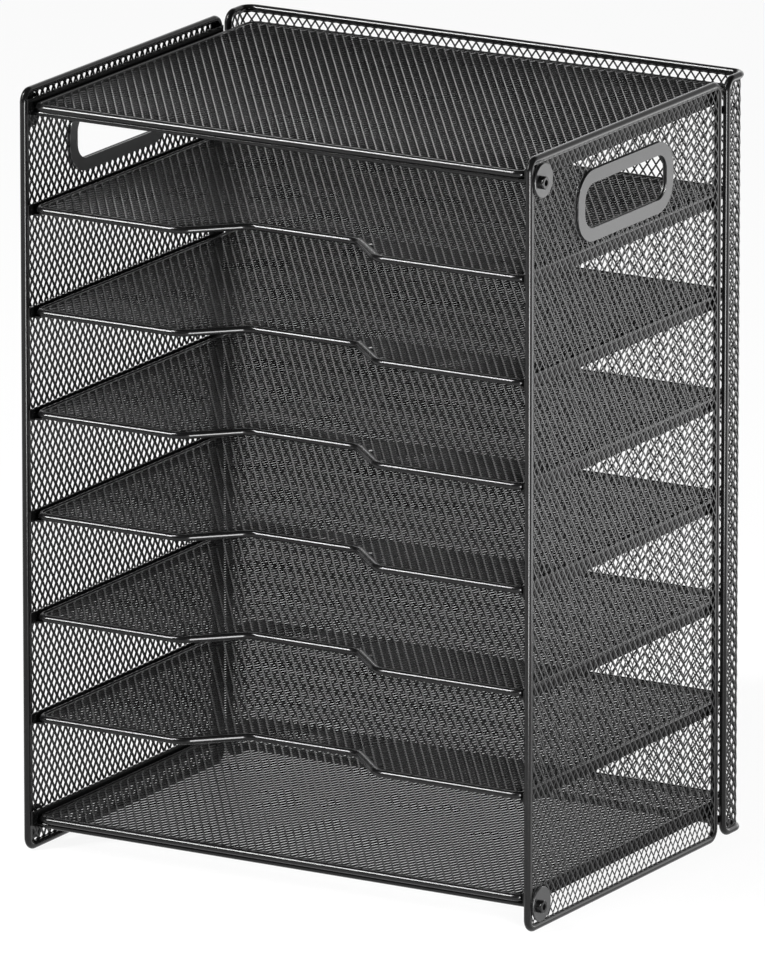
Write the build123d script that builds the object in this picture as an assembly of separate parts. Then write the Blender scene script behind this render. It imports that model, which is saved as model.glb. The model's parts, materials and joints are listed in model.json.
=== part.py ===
from build123d import *
import os
from math import hypot, sqrt

# Desk file organizer of black steel wire and diamond mesh, in millimetres.
# +X is right, +Y is back and +Z is up. The floor is z = 0, the front wires lie at -Y.

# Outer frame
frame_width = 325.0
frame_depth = 244.0
frame_height = 437.1
wire_diameter = 4.0
side_corner_radius = 6.0
return_depth = 24.4
return_corner_radius = 6.0
back_corner_radius = 6.8
panel_slit = 5.8

# Shelf levels, to the centre of their wires
bottom_shelf_height = 18.3
top_shelf_drop = 10.7
tray_count = 6

# Shelf and tray loops
shelf_setback = 3.5
shelf_corner_radius = 6.0
tray_side_clearance = 0.4
tray_back_clearance = 0.5
notch_front_width = 125.0
notch_floor_width = 69.0
notch_depth = 28.0
notch_bend_radius = 11.0

# Expanded mesh, drawn with fewer and larger diamonds of the real proportions
mesh_sheet = 1.0
diamond_width = 5.5
diamond_length = 8.05
strand_width = 1.0
panel_diamond_share = 6.2
tray_diamond_share = 8.8
side_mesh_offset = 1.2
shelf_mesh_offset = 1.2
mesh_margin = 1.5
narrow_open_share = 0.5
least_hole_area = 60.0

# Hand slot in each side panel
handle_length = 105.6
handle_height = 40.2
handle_band = 7.4
handle_corner_radius = 17.0
handle_drop = 40.1
handle_forward = 2.4
handle_plate = 0.8

# L-angles under the shelves and trays
rail_sheet = 1.0
rail_foot = 5.5
tray_rail_rise = 2.9
shelf_rail_rise = 4.6
rail_gap = 0.3
tray_rail_setback = 3.5
shelf_rail_setback = 10.0

# Tie rods with a flat head on the left, round corner plates, and sleeve nuts on the right
rod_diameter = 3.5
rod_setback = 6.8
rod_gap = 0.05
plate_radius = 9.7
plate_sheet = 1.2
plate_setback = 11.3
plate_edge = 0.3
head_diameter = 7.2
head_height = 0.8
head_edge = 0.3
nut_diameter = 7.2
nut_length = 3.8
nut_edge = 0.4
rod_recess = 2.0
bore_clearance = 0.05

# Plates that tie the back panel to the side panels
clip_height = 4.0
clip_sheet = 1.0
clip_overhang = 2.0
clip_drop = 8.0
clip_gap = 0.05

cut_overrun = 5.0

# Worked out from the sizes above
wire_radius = wire_diameter / 2
rod_radius = rod_diameter / 2
bore_radius = rod_radius + bore_clearance
side_depth = frame_depth - return_depth - panel_slit
side_x = frame_width / 2 - wire_radius
front_y = wire_radius - frame_depth / 2
back_y = frame_depth / 2 - wire_radius
side_rear_y = front_y + side_depth - wire_diameter
return_y = back_y - return_depth + wire_diameter
low_z = wire_radius
high_z = frame_height - wire_radius
top_shelf_z = frame_height - top_shelf_drop
level_pitch = (top_shelf_z - bottom_shelf_height) / (tray_count + 1)

side_mesh_inner = side_x + side_mesh_offset - mesh_sheet / 2
side_mesh_outer = side_mesh_inner + mesh_sheet
rail_outer = side_x - wire_radius
rail_inner = rail_outer - rail_sheet
shelf_x = rail_inner - tray_side_clearance - wire_radius
shelf_front_y = front_y + shelf_setback
shelf_back_y = back_y - mesh_sheet / 2 - tray_back_clearance - wire_radius
shelf_middle_y = (shelf_front_y + shelf_back_y) / 2
rod_y = front_y + rod_setback
rod_drop = wire_radius + rod_gap + rod_radius
plate_y = front_y + plate_setback
handle_z = frame_height - handle_drop
nut_face = side_mesh_outer + plate_sheet
middle_shift = (nut_length - head_height) / 2

levels = {"top": top_shelf_z, "bottom": bottom_shelf_height}
for tray in range(1, tray_count + 1):
    levels[str(tray)] = top_shelf_z - tray * level_pitch


def seat(offset):
    """Distance from a wire's centre to the edge of a sheet that lies offset from the wire's plane."""
    nearest = max(offset - mesh_sheet / 2, 0)
    return sqrt(wire_radius ** 2 - nearest ** 2)


def corners(width, length):
    """Corner points of a rectangle about the origin, anticlockwise from the front left."""
    x = width / 2
    y = length / 2
    return [(-x, -y), (x, -y), (x, y), (-x, y)]


def loop_path(points, radii):
    """Closed path through the points, with a bend at each."""
    return FilletPolyline(*points, radius=radii, close=True)


def wire_along(path):
    """Round wire swept along a path."""
    start = Plane(origin=path @ 0, z_dir=path % 0)
    return sweep(start * Circle(wire_radius), path=path)


def diamonds(width, length, diamond_share, reserved):
    """Whole diamond holes of a width by length field about the origin, clear of the reserved boxes."""
    columns = max(1, round(width / (diamond_width * diamond_share)))
    rows = max(1, round(length / (diamond_length * diamond_share)))
    half_u = width / columns / 2
    half_v = length / rows / 2
    across = half_u * half_v / hypot(half_u, half_v)
    open_share = 1 - strand_width * diamond_share / 2 / across
    if columns == 1:
        open_share = narrow_open_share
    holes = []
    for column in range(1, 2 * columns):
        for row in range(1, 2 * rows):
            u = column * half_u - width / 2
            v = row * half_v - length / 2
            if (column + row) % 2 == 0 and not any(meets(u, v, half_u, half_v, box) for box in reserved):
                a = half_u * open_share
                b = half_v * open_share
                holes.append([(u - a, v), (u, v - b), (u + a, v), (u, v + b)])
    return holes


def meets(u, v, half_u, half_v, box):
    """Whether a diamond reaches into a box given as low u, high u, low v and high v."""
    low_u, high_u, low_v, high_v = box
    gap_u = max(low_u - u, u - high_u, 0)
    gap_v = max(low_v - v, v - high_v, 0)
    return gap_u * half_v + gap_v * half_u < half_u * half_v


def mesh_panel(path, offset, width, length, diamond_share, reserved=(), lands=()):
    """Holed sheet that fills a flat wire loop, its lower face at zero, and stays whole on the lands."""
    sheet = offset_face(path, seat(offset))
    inner = []
    for hole in diamonds(width, length, diamond_share, reserved):
        opened = Polygon(*hole, align=None)
        for land in lands:
            opened -= land
        inner += [face.outer_wire() for face in opened.faces() if face.area > least_hole_area]
    return extrude(Face(sheet.outer_wire(), inner), amount=mesh_sheet)


def offset_face(path, distance):
    """Face inside a closed path, drawn in by a distance."""
    return offset(make_face(path.edges()), amount=-distance).face()


def both_sides(shape):
    """A piece of the right-hand side and its mirror image on the left."""
    return {"right": shape, "left": mirror(shape, about=Plane.YZ)}


parts = {}
groups = {}

# Side panels: in their own plane u runs back and v runs up from the middle of the wire loop
side_u = side_depth - wire_diameter
side_v = frame_height - wire_diameter
side_middle = (0, (front_y + side_rear_y) / 2, frame_height / 2)
side_path = loop_path(corners(side_u, side_v), side_corner_radius)


def side_plane(x):
    """Plane across the side panel at a distance x from the middle of the organizer."""
    return Plane.YZ.offset(x) * Pos(side_middle[1], side_middle[2])


handle_u = -handle_forward
handle_v = handle_z - side_middle[2]
slot_length = handle_length - 2 * handle_band
slot_height = handle_height - 2 * handle_band
slot_radius = handle_corner_radius - handle_band
slot = Pos(handle_u, handle_v) * RectangleRounded(slot_length, slot_height, slot_radius)
ring = Pos(handle_u, handle_v) * RectangleRounded(handle_length, handle_height, handle_corner_radius) - slot

rod_u = rod_y - side_middle[1]
rod_levels = {"top": top_shelf_z - rod_drop, "bottom": bottom_shelf_height - rod_drop}
rod_vs = [z - side_middle[2] for z in rod_levels.values()]
lands = [Pos(handle_u, handle_v) * RectangleRounded(
    handle_length - mesh_margin, handle_height - mesh_margin, handle_corner_radius - mesh_margin / 2)]
for rod_v in rod_vs:
    lands.append(Pos(plate_y - side_middle[1], rod_v) * Circle(plate_radius - mesh_margin))

side_field = 2 * (seat(side_mesh_offset) + mesh_margin)
side_sheet = mesh_panel(side_path, side_mesh_offset, side_u - side_field, side_v - side_field,
                        panel_diamond_share, lands=lands)
side_sheet -= extrude(slot, amount=cut_overrun, both=True)
for rod_v in rod_vs:
    side_sheet -= Pos(rod_u, rod_v) * Cylinder(bore_radius, cut_overrun)

side_pieces = {
    "side_frame": side_plane(side_x) * wire_along(side_path),
    "side_mesh": side_plane(side_mesh_inner) * side_sheet,
}
outer_ring = side_plane(side_mesh_outer) * extrude(ring, amount=handle_plate)
inner_ring = side_plane(side_mesh_inner) * extrude(ring, amount=-handle_plate)
for name, shape in side_pieces.items():
    for side, piece in both_sides(shape).items():
        parts[f"{name}_{side}"] = piece
for face, shape in {"outer": outer_ring, "inner": inner_ring}.items():
    for side, piece in both_sides(shape).items():
        parts[f"handle_ring_{side}_{face}"] = piece

# Back panel: one wire loop and one sheet, both bent to a U
back_points = []
for y, z in [(return_y, low_z), (back_y, low_z)]:
    back_points.append((side_x, y, z))
for y, z in [(back_y, low_z), (return_y, low_z), (return_y, high_z), (back_y, high_z)]:
    back_points.append((-side_x, y, z))
for y, z in [(back_y, high_z), (return_y, high_z)]:
    back_points.append((side_x, y, z))
back_radii = [return_corner_radius, back_corner_radius, back_corner_radius, return_corner_radius] * 2
parts["back_frame"] = wire_along(loop_path(back_points, back_radii))

back_seat = seat(0)
back_low = low_z + back_seat
back_high = high_z - back_seat
sheet_half = mesh_sheet / 2
return_front = return_y + back_seat
plan_length = 2 * (back_y - return_y)
outer_plan = RectangleRounded(2 * side_x + mesh_sheet, plan_length + mesh_sheet, back_corner_radius + sheet_half)
inner_plan = RectangleRounded(2 * side_x - mesh_sheet, plan_length - mesh_sheet, back_corner_radius - sheet_half)
u_plan = Pos(0, return_y) * (outer_plan - inner_plan)
front_cut = Pos(0, return_front - plan_length) * Rectangle(frame_width, 2 * plan_length)
back_sheet = Pos(0, 0, back_low) * extrude(u_plan - front_cut, amount=back_high - back_low)
front_edges = back_sheet.edges().group_by(Axis.Y)[0].filter_by(Axis.X)
back_sheet = fillet(front_edges, return_corner_radius - back_seat)

back_field = 2 * (side_x - back_corner_radius)
return_field = back_y - back_corner_radius - return_front - mesh_margin
field_height = back_high - back_low - 2 * mesh_margin
middle_z = (back_low + back_high) / 2
back_face = Plane.XZ.offset(-back_y) * Pos(0, middle_z)
back_holes = diamonds(back_field, field_height, panel_diamond_share, [])
back_tools = [Polygon(*hole, align=None) for hole in back_holes]
back_sheet -= back_face * extrude(Sketch(children=back_tools), amount=cut_overrun, both=True)
return_middle = return_front + mesh_margin + return_field / 2
return_face = Plane.YZ * Pos(return_middle, middle_z)
return_holes = diamonds(return_field, field_height, panel_diamond_share, [])
return_tools = [Polygon(*hole, align=None) for hole in return_holes]
back_sheet -= return_face * extrude(Sketch(children=return_tools), amount=frame_width, both=True)
parts["back_mesh"] = back_sheet

# Shelves and trays: loops in their own plane, about the middle of the loop
shelf_length = shelf_back_y - shelf_front_y
shelf_points = corners(2 * shelf_x, shelf_length)
shelf_path = loop_path(shelf_points, shelf_corner_radius)
notch_points = [
    (-notch_front_width / 2, -shelf_length / 2),
    (-notch_floor_width / 2, notch_depth - shelf_length / 2),
    (notch_floor_width / 2, notch_depth - shelf_length / 2),
    (notch_front_width / 2, -shelf_length / 2),
]
tray_points = [shelf_points[0]] + notch_points + shelf_points[1:]
tray_radii = [shelf_corner_radius] + [notch_bend_radius] * 4 + [shelf_corner_radius] * 3
tray_path = loop_path(tray_points, tray_radii)

shelf_field = 2 * (seat(shelf_mesh_offset) + mesh_margin)
field_u = 2 * shelf_x - shelf_field
field_v = shelf_length - shelf_field
notch_half = notch_front_width / 2
notch_box = (-notch_half, notch_half, -shelf_length, notch_depth - shelf_length / 2)
shelf_frame = wire_along(shelf_path)
tray_frame = wire_along(tray_path)
shelf_sheet = mesh_panel(shelf_path, shelf_mesh_offset, field_u, field_v, panel_diamond_share)
tray_sheet = mesh_panel(tray_path, shelf_mesh_offset, field_u, field_v, tray_diamond_share, [notch_box])
sheet_lift = shelf_mesh_offset - mesh_sheet / 2
for name, z in levels.items():
    fixed = name in rod_levels
    label = f"{name}_shelf" if fixed else f"tray_{name}"
    parts[f"{label}_frame"] = Pos(0, shelf_middle_y, z) * (shelf_frame if fixed else tray_frame)
    parts[f"{label}_mesh"] = Pos(0, shelf_middle_y, z + sheet_lift) * (shelf_sheet if fixed else tray_sheet)


# Rails: the upright leg meets the side wires, the foot lies under the shelf's side wire
def rail(setback, rise):
    """Right-hand L-angle for a shelf at z = 0, its foot starting at a setback from the front wire."""
    foot_top = -wire_radius - rail_gap
    foot_low = foot_top - rail_sheet
    leg_length = side_rear_y - front_y
    leg = Pos(rail_inner, front_y, foot_low) * Box(rail_sheet, leg_length, rise - foot_low, align=Align.MIN)
    foot_start = front_y + setback
    foot = Pos(rail_outer - rail_foot, foot_start, foot_low) * Box(
        rail_foot, side_rear_y - setback - foot_start, rail_sheet, align=Align.MIN)
    return leg + foot


rod_bore = Pos(0, rod_y, -rod_drop) * Rot(0, 90, 0) * Cylinder(bore_radius, frame_width)
tray_rail = rail(tray_rail_setback, tray_rail_rise)
shelf_rail = rail(shelf_rail_setback, shelf_rail_rise) - rod_bore
for name, z in levels.items():
    shape = Pos(0, 0, z) * (shelf_rail if name in rod_levels else tray_rail)
    for side, piece in both_sides(shape).items():
        parts[f"rail_{side}_{name}"] = piece

# Tie rods with their corner plates and sleeve nuts
shank = extrude(Circle(rod_radius), amount=2 * nut_face + nut_length - rod_recess)
head = extrude(Circle(head_diameter / 2), amount=-head_height)
rod = shank + chamfer(head.edges().group_by(Axis.Z)[0], head_edge)
plate = Circle(plate_radius) - Pos(rod_y - plate_y, 0) * Circle(bore_radius)
plate = extrude(plate, amount=plate_sheet)
plate = chamfer(plate.edges().group_by(Axis.Z)[-1].sort_by(SortBy.LENGTH)[-1], plate_edge)
nut = extrude(Circle(nut_diameter / 2) - Circle(bore_radius), amount=nut_length)
nut = chamfer(nut.edges().group_by(Axis.Z)[-1].sort_by(SortBy.LENGTH)[-1], nut_edge)
nuts = []
for name, z in rod_levels.items():
    parts[f"tie_rod_{name}"] = Plane.YZ.offset(-nut_face) * Pos(rod_y, z) * rod
    placed_plate = Plane.YZ.offset(side_mesh_outer) * Pos(plate_y, z) * plate
    for side, piece in both_sides(placed_plate).items():
        parts[f"corner_plate_{side}_{name}"] = piece
    nuts.append(Plane.YZ.offset(nut_face) * Pos(rod_y, z) * nut)
groups["sleeve_nuts"] = nuts

# Plates across the slit between side panel and back panel
clip_length = return_y - side_rear_y + 2 * clip_overhang
clip = extrude(SlotOverall(clip_length, clip_height), amount=-clip_sheet)
clip_y = (side_rear_y + return_y) / 2
clips = []
for z in (top_shelf_z - clip_drop, bottom_shelf_height - clip_drop):
    clips += both_sides(Plane.YZ.offset(rail_outer - clip_gap) * Pos(clip_y, z) * clip).values()
groups["back_clips"] = clips

# The nuts stand further out than the heads, so the whole is moved to lie about the origin
middle = Pos(-middle_shift, 0, 0)
pieces = {name: middle * shape for name, shape in parts.items()}
for name, solids in groups.items():
    pieces[name] = Compound(children=[middle * solid for solid in solids])
os.makedirs("parts", exist_ok=True)
for name, shape in pieces.items():
    export_step(shape, f"parts/{name}.step")
print(len(pieces), "parts")
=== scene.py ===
"""Desk file organizer: fine diamond mesh, satin black coat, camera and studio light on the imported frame."""
import json
from collections import namedtuple
from math import cos, pi, radians, sin, tan

import bpy
import numpy as np
from mathutils import Matrix, Vector

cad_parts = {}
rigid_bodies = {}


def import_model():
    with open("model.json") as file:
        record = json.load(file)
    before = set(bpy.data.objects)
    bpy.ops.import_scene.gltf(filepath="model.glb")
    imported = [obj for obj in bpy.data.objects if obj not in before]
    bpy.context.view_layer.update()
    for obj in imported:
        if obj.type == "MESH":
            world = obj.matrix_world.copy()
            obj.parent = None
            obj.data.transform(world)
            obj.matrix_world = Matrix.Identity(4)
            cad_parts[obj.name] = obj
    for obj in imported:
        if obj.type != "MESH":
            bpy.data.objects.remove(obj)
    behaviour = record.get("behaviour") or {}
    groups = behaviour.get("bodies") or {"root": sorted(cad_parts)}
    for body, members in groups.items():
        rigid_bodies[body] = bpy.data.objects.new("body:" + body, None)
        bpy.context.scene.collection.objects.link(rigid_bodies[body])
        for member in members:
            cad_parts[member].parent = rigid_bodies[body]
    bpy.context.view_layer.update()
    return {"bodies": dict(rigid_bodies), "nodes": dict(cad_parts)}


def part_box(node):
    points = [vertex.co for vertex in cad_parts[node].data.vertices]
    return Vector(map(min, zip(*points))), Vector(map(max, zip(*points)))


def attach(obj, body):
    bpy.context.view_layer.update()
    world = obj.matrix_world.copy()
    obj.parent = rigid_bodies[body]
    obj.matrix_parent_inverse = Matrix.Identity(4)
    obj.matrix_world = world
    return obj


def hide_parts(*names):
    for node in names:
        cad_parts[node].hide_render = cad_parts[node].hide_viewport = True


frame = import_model()
MM = 0.001

# Expanded mesh: a diamond's width and length, a strand's width on its upper and under face, its thickness,
# and the slope that expanding gives it
Weave = namedtuple("Weave", "wide long strand under depth slope")
SHELF_WEAVE = Weave(5.5 * MM, 8.05 * MM, 1.0 * MM, 1.0 * MM, 0.6 * MM, 0.36)
BACK_WEAVE = Weave(5.5 * MM, 8.05 * MM, 0.9 * MM, 0.9 * MM, 0.5 * MM, 0.22)
LEFT_WEAVE = Weave(5.92 * MM, 8.13 * MM, 1.05 * MM, 1.55 * MM, 0.4 * MM, 0.22)
RIGHT_WEAVE = Weave(5.5 * MM, 7.98 * MM, 1.0 * MM, 0.5 * MM, 0.5 * MM, 0.18)

# Side panels: the way that the outer face looks along x, the weave, the plain selvage in front and behind,
# and how far the first hole lies behind the front wire and below the top wire
Side = namedtuple("Side", "sign weave selvage first_hole top_row")
SIDES = {
    "left": Side(-1, LEFT_WEAVE, 7.0 * MM, 9.96 * MM, 7.6 * MM),
    "right": Side(1, RIGHT_WEAVE, 2.6 * MM, 6.75 * MM, 6.8 * MM),
}
BACK_TOP_ROW = 6.8 * MM

# Plain borders of the sheets, from the centre of the wire beside them
BORDER_START = 1.2 * MM
BORDER_END = 2.4 * MM
SIDE_BORDER_END = 1.9 * MM
BEND_STEPS = 8
LEAST_AREA = 0.001 * MM ** 2

# Bends of the wire centre lines, finger notch and hand slot
SIDE_BEND = 6.0 * MM
SHELF_BEND = 6.0 * MM
RETURN_BEND = 6.0 * MM
BACK_BEND = 6.8 * MM
NOTCH_BEND = 11.0 * MM
NOTCH_FRONT = 125.0 * MM
NOTCH_FLOOR = 69.0 * MM
NOTCH_DEPTH = 28.0 * MM
HANDLE_BAND = 7.4 * MM
SLOT_BEND = 9.6 * MM

# Powder coats: grey of the base colour, roughness, index of refraction, and the size and strength of the
# orange peel
Coat = namedtuple("Coat", "base roughness ior grain relief")
WIRE_COAT = Coat(0.003, 0.19, 1.34, 0.6 * MM, 0.15)
MESH_COAT = Coat(0.006, 0.28, 1.4, 0.5 * MM, 0.15)
PLATE_COAT = Coat(0.014, 0.35, 1.55, 0.5 * MM, 0.5)
PLATE_NAMES = ("handle_ring", "corner_plate")

# Drift of a coat's colour and roughness about its own, and the height of its orange peel
DRIFT_SIZE = 40 * MM
DRIFT_DETAIL = 3
DARK_TINT = (0.8, 0.8, 0.82)
PALE_TINT = (1.25, 1.25, 1.28)
GLOSSY_SHARE = 0.85
DULL_SHARE = 1.15
PEEL_DETAIL = 2
PEEL_HEIGHT = 0.05 * MM

# Floor: half its side, its grey and roughness, and how much of it glows white where it is seen directly
FLOOR_HALF = 30.0
FLOOR_GREY = 0.9
FLOOR_ROUGHNESS = 0.9
FLOOR_GLOW_SHARE = 0.9

# Surroundings: the way to their palest part, how far along it they start and stop brightening, and how bright
# they are at the two ends
BACKDROP_WAY = (-0.3, 0.95, -0.6)
BRIGHTEN_START = 0.2
BRIGHTEN_END = 0.8
DIM_STRENGTH = 0.1
PALE_STRENGTH = 1.9

# Softboxes: where they stand, the point that they face, their size and their radiance
Softbox = namedtuple("Softbox", "place aim width height radiance")
SOFTBOXES = {
    "key": Softbox((-1.15, -1.55, 1.85), (0, 0, 0.22), 0.28, 1.75, 84),
    "front_strip": Softbox((0.5, -0.42, 0.21), (0, -0.12, 0.21), 0.16, 0.4, 34),
    "right_back": Softbox((0.38, 0.45, 0.17), (0, 0, 0.17), 0.6, 0.32, 2.1),
}

# Camera, fitted to the photograph's 765 by 960 frame
IMAGE_HEIGHT = 960
FOCAL_PIXELS = 15400
SENSOR_HEIGHT = 24.0
CAMERA_AZIMUTH = radians(30.3012)
CAMERA_ELEVATION = radians(14.8897)
CAMERA_DISTANCE = 8.5131
CAMERA_ASIDE = 0.0592
CAMERA_ABOVE = 0.2277
CAMERA_REACH = 100

# Read from the frame
low_side, high_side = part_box("side_frame_right")
low_back, high_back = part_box("back_frame")
WIRE = (high_side.x - low_side.x) / 2
FRONT_Y = low_side.y + WIRE
MIDDLE_X = (low_back.x + high_back.x) / 2
TRAYS = sorted(body for body in frame["bodies"] if body.startswith("tray_"))
FIXED_SHELVES = ["top_shelf", "bottom_shelf"]


# Mesh shapes


def rounded_loop(points, radii):
    """Closed flat outline with filleted corners: its points and their inward normals."""
    outline, inward = [], []
    count = len(points)
    corners = [Vector(p) for p in points]
    for k, (corner, radius) in enumerate(zip(corners, radii)):
        to_last = (corners[k - 1] - corner).normalized()
        to_next = (corners[(k + 1) % count] - corner).normalized()
        half_angle = to_last.angle(to_next) / 2
        turn = 1 if to_last.cross(to_next) < 0 else -1
        centre = corner + (to_last + to_next).normalized() * radius / sin(half_angle)
        start = corner + to_last * radius / tan(half_angle) - centre
        sweep = turn * (pi - 2 * half_angle)
        for step in range(BEND_STEPS + 1):
            arm = Matrix.Rotation(sweep * step / BEND_STEPS, 2) @ start
            outline.append(centre + arm)
            inward.append(-turn * arm.normalized())
    return np.array(outline), np.array(inward)


def rectangle(low_u, high_u, low_v, high_v):
    """Corner points of a rectangle, anticlockwise from its low corner."""
    return [(low_u, low_v), (high_u, low_v), (high_u, high_v), (low_u, high_v)]


def new_mesh(name, verts, quads, material):
    """Mesh from arrays of points and quads, without faces of no area."""
    a, b, c, d = (verts[quads[:, k]] for k in range(4))
    area = np.linalg.norm(np.cross(c - a, d - b), axis=1)
    quads = quads[area > LEAST_AREA]
    used = np.unique(quads)
    renumber = np.zeros(len(verts), int)
    renumber[used] = np.arange(len(used))
    mesh = bpy.data.meshes.new(name)
    mesh.from_pydata(verts[used].tolist(), [], renumber[quads].tolist())
    mesh.materials.append(material)
    return mesh


def add_piece(name, mesh, place, body, replaced):
    """Object that shows a mesh at a place, rides on a body and stands for a CAD node."""
    piece = bpy.data.objects.new(name, mesh)
    piece.location = place
    bpy.context.scene.collection.objects.link(piece)
    bpy.context.view_layer.update()
    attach(piece, body)
    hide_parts(replaced)


def diamond_lattice(low, high, weave, first, front_edge=None, keep=None):
    """Flat expanded mesh in a box, with a hole centred on the point first: points as u, v, height, and quads.

    Each hole has a ring of four top, four wall and four bottom quads, higher at the far end of u than at the
    near end, so that the strands lean as cut and stretched ones do. Points past the box are drawn in to its
    edge, or to front_edge, the least v at each u. keep tells which of the holes are made.
    """
    half = np.array([weave.wide, weave.long]) / 2
    across = half[0] * half[1] / np.hypot(*half)
    upper_share = 1 - weave.strand / 2 / across
    under_share = 1 - weave.under / 2 / across
    start = np.floor((np.array(low) - first) / half).astype(int) - 1
    stop = np.ceil((np.array(high) - first) / half).astype(int) + 2
    i, j = np.meshgrid(np.arange(start[0], stop[0]), np.arange(start[1], stop[1]), indexing="ij")
    u = first[0] + i * half[0]
    v = first[1] + j * half[1]
    knots = np.stack([u, v, np.zeros(u.shape)], axis=-1).reshape(-1, 3)
    is_hole = (i + j) % 2 == 0
    is_hole[[0, -1], :] = False
    is_hole[:, [0, -1]] = False
    if keep is not None:
        is_hole &= keep(u, v)
    hole_i, hole_j = np.nonzero(is_hole)
    centres = np.stack([u[is_hole], v[is_hole], np.zeros(len(hole_i))], axis=-1)
    up = np.array([0, 0, weave.depth / 2])
    rise = weave.slope * weave.strand
    above, below, around = [], [], []
    for step in np.array([(1, 0), (0, 1), (-1, 0), (0, -1)]):
        above.append(centres + np.append(step * half * upper_share, rise * step[0]) + up)
        below.append(centres + np.append(step * half * under_share, rise * step[0]) - up)
        around.append((hole_i + step[0]) * u.shape[1] + hole_j + step[1])
    verts = np.concatenate([knots + up, knots - up] + above + below)
    total, count = len(knots), len(centres)
    rings = [2 * total + k * count + np.arange(count) for k in range(8)]
    quads = []
    for k in range(4):
        after = (k + 1) % 4
        quads.append([around[k], around[after], rings[after], rings[k]])
        quads.append([rings[k], rings[after], rings[after + 4], rings[k + 4]])
        quads.append([around[after] + total, around[k] + total, rings[k + 4], rings[after + 4]])
    verts[:, 0] = np.clip(verts[:, 0], low[0], high[0])
    lowest = low[1] if front_edge is None else front_edge(verts[:, 0])
    verts[:, 1] = np.clip(verts[:, 1], lowest, high[1])
    return verts, np.concatenate([np.stack(q, axis=1) for q in quads])


def border(outer, inner, depth):
    """Plain flat border between two closed outlines of as many points: points as u, v, height, and quads."""
    rings = []
    for ring, height in ((outer, depth / 2), (inner, depth / 2), (inner, -depth / 2), (outer, -depth / 2)):
        rings.append(np.column_stack([ring, np.full(len(ring), height)]))
    return np.concatenate(rings), strip_quads(len(rings), len(outer))


def strip_quads(sides, length):
    """Quads that join neighbouring closed rows of a swept section."""
    quads = []
    along = np.arange(length)
    for side in range(sides):
        first = side * length
        second = (side + 1) % sides * length
        ahead = (along + 1) % length
        quads.append(np.stack([first + along, first + ahead, second + ahead, second + along], axis=1))
    return np.concatenate(quads)


def joined(*meshes):
    """One pair of point and quad arrays from several."""
    verts, quads, total = [], [], 0
    for points, faces in meshes:
        verts.append(points)
        quads.append(faces + total)
        total += len(points)
    return np.concatenate(verts), np.concatenate(quads)


# Materials


def noise(tree, place, size, detail):
    """Noise texture node with lumps of about a size."""
    texture = tree.nodes.new("ShaderNodeTexNoise")
    texture.inputs["Scale"].default_value = 1 / size
    texture.inputs["Detail"].default_value = detail
    tree.links.new(place.outputs["Object"], texture.inputs["Vector"])
    return texture


def tinted(base, tint):
    """Opaque colour of a grey times a tint."""
    return (*(base * channel for channel in tint), 1)


def coat(name, finish):
    """Satin black powder coat: a fine orange-peel bump and a slow drift of colour and roughness."""
    material = bpy.data.materials.new(name)
    material.use_nodes = True
    tree = material.node_tree
    shader = tree.nodes["Principled BSDF"]
    shader.inputs["IOR"].default_value = finish.ior
    place = tree.nodes.new("ShaderNodeTexCoord")
    drift = noise(tree, place, DRIFT_SIZE, DRIFT_DETAIL)
    tint = tree.nodes.new("ShaderNodeMix")
    tint.data_type = "RGBA"
    tint.inputs["A"].default_value = tinted(finish.base, DARK_TINT)
    tint.inputs["B"].default_value = tinted(finish.base, PALE_TINT)
    tree.links.new(drift.outputs["Fac"], tint.inputs["Factor"])
    tree.links.new(tint.outputs["Result"], shader.inputs["Base Color"])
    gloss = tree.nodes.new("ShaderNodeMapRange")
    gloss.inputs["To Min"].default_value = finish.roughness * GLOSSY_SHARE
    gloss.inputs["To Max"].default_value = finish.roughness * DULL_SHARE
    tree.links.new(drift.outputs["Fac"], gloss.inputs["Value"])
    tree.links.new(gloss.outputs["Result"], shader.inputs["Roughness"])
    peel = noise(tree, place, finish.grain, PEEL_DETAIL)
    bump = tree.nodes.new("ShaderNodeBump")
    bump.inputs["Strength"].default_value = finish.relief
    bump.inputs["Distance"].default_value = PEEL_HEIGHT
    tree.links.new(peel.outputs["Fac"], bump.inputs["Height"])
    tree.links.new(bump.outputs["Normal"], shader.inputs["Normal"])
    return material


wire_coat = coat("wire_coat", WIRE_COAT)
mesh_coat = coat("mesh_coat", MESH_COAT)
plate_coat = coat("plate_coat", PLATE_COAT)

for name, node in frame["nodes"].items():
    node.data.materials.clear()
    node.data.materials.append(plate_coat if name.startswith(PLATE_NAMES) else wire_coat)


# Side panels


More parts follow.
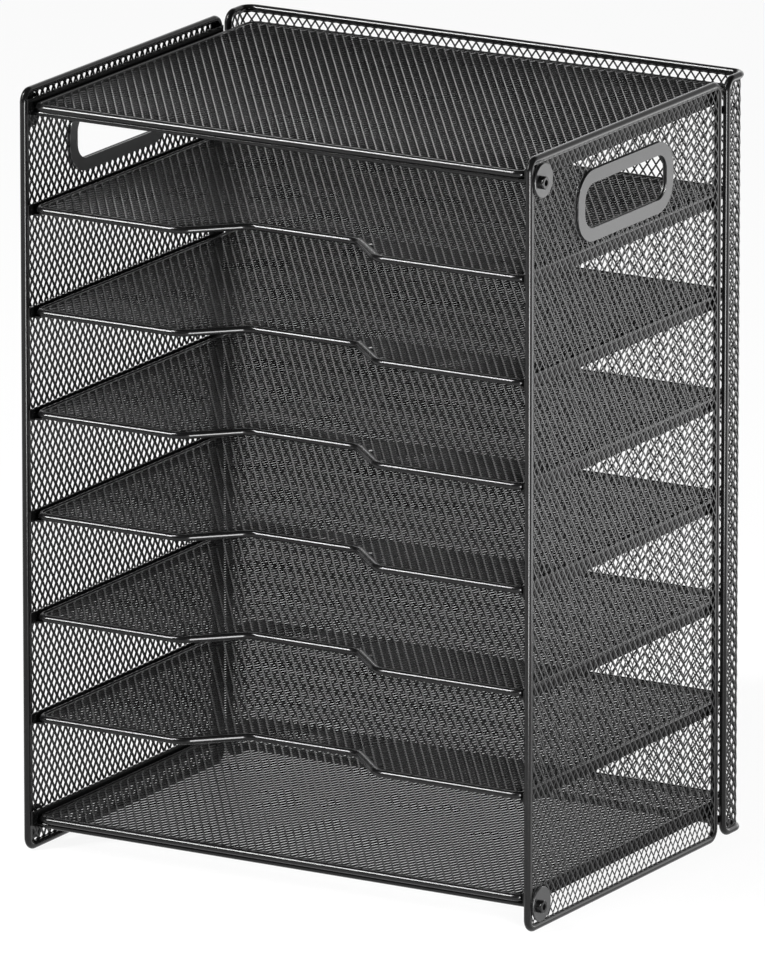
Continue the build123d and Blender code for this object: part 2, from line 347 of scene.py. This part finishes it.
def side_mesh(name, side):
    """Mesh of one side panel, in the sheet's own plane outside the wires."""
    low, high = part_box(f"side_frame_{name}")
    plane_x = sum(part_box(f"side_mesh_{name}"), Vector()).x / 2
    low_u, high_u = low.y + WIRE, high.y - WIRE
    low_v, high_v = low.z + WIRE, high.z - WIRE
    ring_low, ring_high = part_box(f"handle_ring_{name}_outer")
    middle = (ring_low + ring_high) / 2
    half = (ring_high - ring_low) / 2
    bend = SLOT_BEND + HANDLE_BAND / 2

    def outside_ring(u, v):
        """Whether a hole lies outside the middle line of the handle ring."""
        over_u = np.abs(u - middle.y) - (half.y - HANDLE_BAND / 2 - bend)
        over_v = np.abs(v - middle.z) - (half.z - HANDLE_BAND / 2 - bend)
        return np.hypot(np.maximum(over_u, 0), np.maximum(over_v, 0)) > bend

    inside_low = np.array([low_u + side.selvage, low_v + SIDE_BORDER_END])
    inside_high = np.array([high_u - side.selvage, high_v - SIDE_BORDER_END])
    first = np.array([low_u + side.first_hole, high_v - side.top_row])
    lattice = diamond_lattice(inside_low, inside_high, side.weave, first, keep=outside_ring)
    outline, inward = rounded_loop(rectangle(low_u, high_u, low_v, high_v), [SIDE_BEND] * 4)
    outer = outline + inward * BORDER_START
    edge = border(outer, np.clip(outer, inside_low, inside_high), side.weave.depth)
    flat, quads = joined(lattice, edge)
    verts = np.column_stack([plane_x + side.sign * flat[:, 2], flat[:, 0], flat[:, 1]])
    facing = quads if side.sign > 0 else quads[:, ::-1]
    mesh = new_mesh(f"fine_mesh_{name}", verts, facing, mesh_coat)
    add_piece(f"fine_mesh_{name}", mesh, Vector(), "frame", f"side_mesh_{name}")


for name, side in SIDES.items():
    side_mesh(name, side)


# Back panel


def back_mesh():
    """Mesh and rim of the back panel: flat arrays bent to a U round the two plan corners."""
    side_x = high_back.x - WIRE - MIDDLE_X
    back_y = high_back.y - WIRE
    arm = back_y - low_back.y - WIRE - BACK_BEND
    arc = BACK_BEND * pi / 2
    half_back = side_x - BACK_BEND
    total = half_back + arc + arm
    low_v, high_v = low_back.z + WIRE, high_back.z - WIRE

    def bent(flat):
        """Flat points, u along the panel from its middle, on the U-shaped surface."""
        u, v, height = np.abs(flat[:, 0]), flat[:, 1], flat[:, 2]
        sign = np.sign(flat[:, 0])
        angle = np.clip((u - half_back) / arc, 0, 1) * pi / 2
        along = np.clip(u - half_back - arc, 0, None)
        x = np.minimum(u, half_back) + (BACK_BEND + height) * np.sin(angle)
        y = back_y - BACK_BEND + (BACK_BEND + height) * np.cos(angle) - along
        return np.column_stack([MIDDLE_X + sign * x, y, v])

    inside_low = np.array([BORDER_END - total, low_v + BORDER_END])
    inside_high = np.array([total - BORDER_END, high_v - BORDER_END])
    first = np.array([0, high_v - BACK_TOP_ROW])
    lattice = diamond_lattice(inside_low, inside_high, BACK_WEAVE, first)
    outline, inward = rounded_loop(rectangle(-total, total, low_v, high_v), [RETURN_BEND] * 4)
    outline, inward = with_bend_points(outline, inward, half_back, arc)
    edge = border(outline + inward * BORDER_START, outline + inward * BORDER_END, BACK_WEAVE.depth)
    flat, quads = joined(lattice, edge)
    mesh = new_mesh("fine_mesh_back", bent(flat), quads[:, ::-1], mesh_coat)
    add_piece("fine_mesh_back", mesh, Vector(), "frame", "back_mesh")


def with_bend_points(outline, inward, half_back, arc):
    """The outline with extra points on its long runs, where the sheet bends round the plan corners."""
    points, normals = [], []
    shares = np.linspace(0, 1, BEND_STEPS + 1)
    stops = [sign * (half_back + arc * share) for sign in (-1, 1) for share in shares]
    for k, (point, normal) in enumerate(zip(outline, inward)):
        points.append(point)
        normals.append(normal)
        after = outline[(k + 1) % len(outline)]
        between = [s for s in stops if min(point[0], after[0]) < s < max(point[0], after[0])]
        if abs(after[0] - point[0]) > arc:
            for stop in sorted(between, reverse=after[0] < point[0]):
                points.append((stop, point[1]))
                normals.append(normal)
    return np.array(points), np.array(normals)


back_mesh()


# Shelves and trays


def shelf_mesh(node, notched):
    """Mesh of a shelf or tray about its own level."""
    low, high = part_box(f"{node}_frame")
    low_u, high_u = low.x + WIRE, high.x - WIRE
    low_v, high_v = low.y + WIRE, high.y - WIRE
    corners = rectangle(low_u, high_u, low_v, high_v)
    bends = [SHELF_BEND] * 4
    if notched:
        notch = [
            (MIDDLE_X - NOTCH_FRONT / 2, low_v),
            (MIDDLE_X - NOTCH_FLOOR / 2, low_v + NOTCH_DEPTH),
            (MIDDLE_X + NOTCH_FLOOR / 2, low_v + NOTCH_DEPTH),
            (MIDDLE_X + NOTCH_FRONT / 2, low_v),
        ]
        corners = corners[:1] + notch + corners[1:]
        bends = bends[:1] + [NOTCH_BEND] * 4 + bends[1:]

    def front_edge(u):
        """Where the mesh starts behind the notch, for points at u across the tray."""
        run = (NOTCH_FRONT - NOTCH_FLOOR) / 2
        slant = np.hypot(run, NOTCH_DEPTH) / run
        depth = (NOTCH_FRONT / 2 - np.abs(u - MIDDLE_X)) * NOTCH_DEPTH / run + BORDER_END * slant
        return low_v + np.clip(depth, BORDER_END, NOTCH_DEPTH + BORDER_END)

    inside_low = np.array([low_u + BORDER_END, low_v + BORDER_END])
    inside_high = np.array([high_u - BORDER_END, high_v - BORDER_END])
    first = np.array([MIDDLE_X, low_v])
    lattice = diamond_lattice(inside_low, inside_high, SHELF_WEAVE, first, front_edge if notched else None)
    outline, inward = rounded_loop(corners, bends)
    edge = border(outline + inward * BORDER_START, outline + inward * BORDER_END, SHELF_WEAVE.depth)
    verts, quads = joined(lattice, edge)
    return new_mesh("fine_mesh_tray" if notched else "fine_mesh_shelf", verts, quads, mesh_coat)


def shelf_meshes(names, notched):
    """One mesh, shown at the level of each of the shelves or trays named."""
    mesh = shelf_mesh(names[0], notched)
    for name in names:
        low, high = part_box(f"{name}_mesh")
        place = Vector((0, 0, (low.z + high.z) / 2))
        add_piece(f"fine_mesh_{name}", mesh, place, name if notched else "frame", f"{name}_mesh")


shelf_meshes(FIXED_SHELVES, False)
shelf_meshes(TRAYS, True)


# Floor, surroundings, lights and camera


def add_floor():
    """Pale floor that shows near white and keeps the soft shadow."""
    mesh = bpy.data.meshes.new("floor")
    corners = rectangle(-FLOOR_HALF, FLOOR_HALF, -FLOOR_HALF, FLOOR_HALF)
    mesh.from_pydata([(x, y, 0) for x, y in corners], [], [(0, 1, 2, 3)])
    floor = bpy.data.objects.new("floor", mesh)
    bpy.context.scene.collection.objects.link(floor)
    material = bpy.data.materials.new("floor_white")
    material.use_nodes = True
    tree = material.node_tree
    shader = tree.nodes["Principled BSDF"]
    shader.inputs["Base Color"].default_value = (FLOOR_GREY, FLOOR_GREY, FLOOR_GREY, 1)
    shader.inputs["Roughness"].default_value = FLOOR_ROUGHNESS
    glow = tree.nodes.new("ShaderNodeEmission")
    glow.inputs["Strength"].default_value = 1.0
    share = tree.nodes.new("ShaderNodeMath")
    share.operation = "MULTIPLY"
    share.inputs[1].default_value = FLOOR_GLOW_SHARE
    tree.links.new(seen_directly(tree), share.inputs[0])
    mix = tree.nodes.new("ShaderNodeMixShader")
    tree.links.new(share.outputs[0], mix.inputs[0])
    tree.links.new(shader.outputs[0], mix.inputs[1])
    tree.links.new(glow.outputs[0], mix.inputs[2])
    tree.links.new(mix.outputs[0], tree.nodes["Material Output"].inputs["Surface"])
    mesh.materials.append(material)


def seen_directly(tree):
    """Socket that is one for camera, glossy and transmission rays."""
    path = tree.nodes.new("ShaderNodeLightPath")
    seen = path.outputs["Is Camera Ray"]
    for ray in ("Is Glossy Ray", "Is Transmission Ray"):
        either = tree.nodes.new("ShaderNodeMath")
        either.operation = "MAXIMUM"
        tree.links.new(seen, either.inputs[0])
        tree.links.new(path.outputs[ray], either.inputs[1])
        seen = either.outputs[0]
    return seen


def add_world():
    """Pale surroundings behind the organizer that dim towards the front and overhead."""
    world = bpy.data.worlds.new("studio")
    bpy.context.scene.world = world
    world.use_nodes = True
    tree = world.node_tree
    place = tree.nodes.new("ShaderNodeTexCoord")
    facing = tree.nodes.new("ShaderNodeVectorMath")
    facing.operation = "DOT_PRODUCT"
    facing.inputs[1].default_value = BACKDROP_WAY
    tree.links.new(place.outputs["Generated"], facing.inputs[0])
    strength = tree.nodes.new("ShaderNodeMapRange")
    strength.inputs["From Min"].default_value = BRIGHTEN_START
    strength.inputs["From Max"].default_value = BRIGHTEN_END
    strength.inputs["To Min"].default_value = DIM_STRENGTH
    strength.inputs["To Max"].default_value = PALE_STRENGTH
    tree.links.new(facing.outputs["Value"], strength.inputs["Value"])
    ground = tree.nodes["Background"]
    ground.inputs["Color"].default_value = (1, 1, 1, 1)
    tree.links.new(strength.outputs["Result"], ground.inputs["Strength"])


def add_softbox(name, softbox):
    """Area lamp of an even radiance that faces a point and isn't seen by the camera."""
    lamp = bpy.data.lights.new(name, "AREA")
    lamp.shape = "RECTANGLE"
    lamp.size = softbox.width
    lamp.size_y = softbox.height
    lamp.energy = softbox.radiance * pi * softbox.width * softbox.height
    holder = bpy.data.objects.new(name, lamp)
    holder.location = softbox.place
    way = Vector(softbox.place) - Vector(softbox.aim)
    holder.rotation_euler = way.to_track_quat("Z", "Y").to_euler()
    holder.visible_camera = False
    bpy.context.scene.collection.objects.link(holder)


def add_camera():
    """Long lens at the photograph's angle."""
    right = Vector((cos(CAMERA_AZIMUTH), sin(CAMERA_AZIMUTH), 0))
    level = cos(CAMERA_ELEVATION)
    forward = Vector((-sin(CAMERA_AZIMUTH) * level, cos(CAMERA_AZIMUTH) * level, -sin(CAMERA_ELEVATION)))
    up = right.cross(forward)
    data = bpy.data.cameras.new("camera")
    data.sensor_fit = "VERTICAL"
    data.sensor_height = SENSOR_HEIGHT
    data.lens = FOCAL_PIXELS * SENSOR_HEIGHT / IMAGE_HEIGHT
    data.clip_end = CAMERA_REACH
    camera = bpy.data.objects.new("camera", data)
    target = Vector((MIDDLE_X, FRONT_Y, 0)) + right * CAMERA_ASIDE + up * CAMERA_ABOVE
    turn = Matrix((right, up, -forward)).transposed()
    camera.matrix_world = Matrix.Translation(target - forward * CAMERA_DISTANCE) @ turn.to_4x4()
    bpy.context.scene.collection.objects.link(camera)
    bpy.context.scene.camera = camera


add_floor()
add_world()
for name, softbox in SOFTBOXES.items():
    add_softbox(name, softbox)
add_camera()

bpy.context.scene.view_settings.view_transform = "Standard"
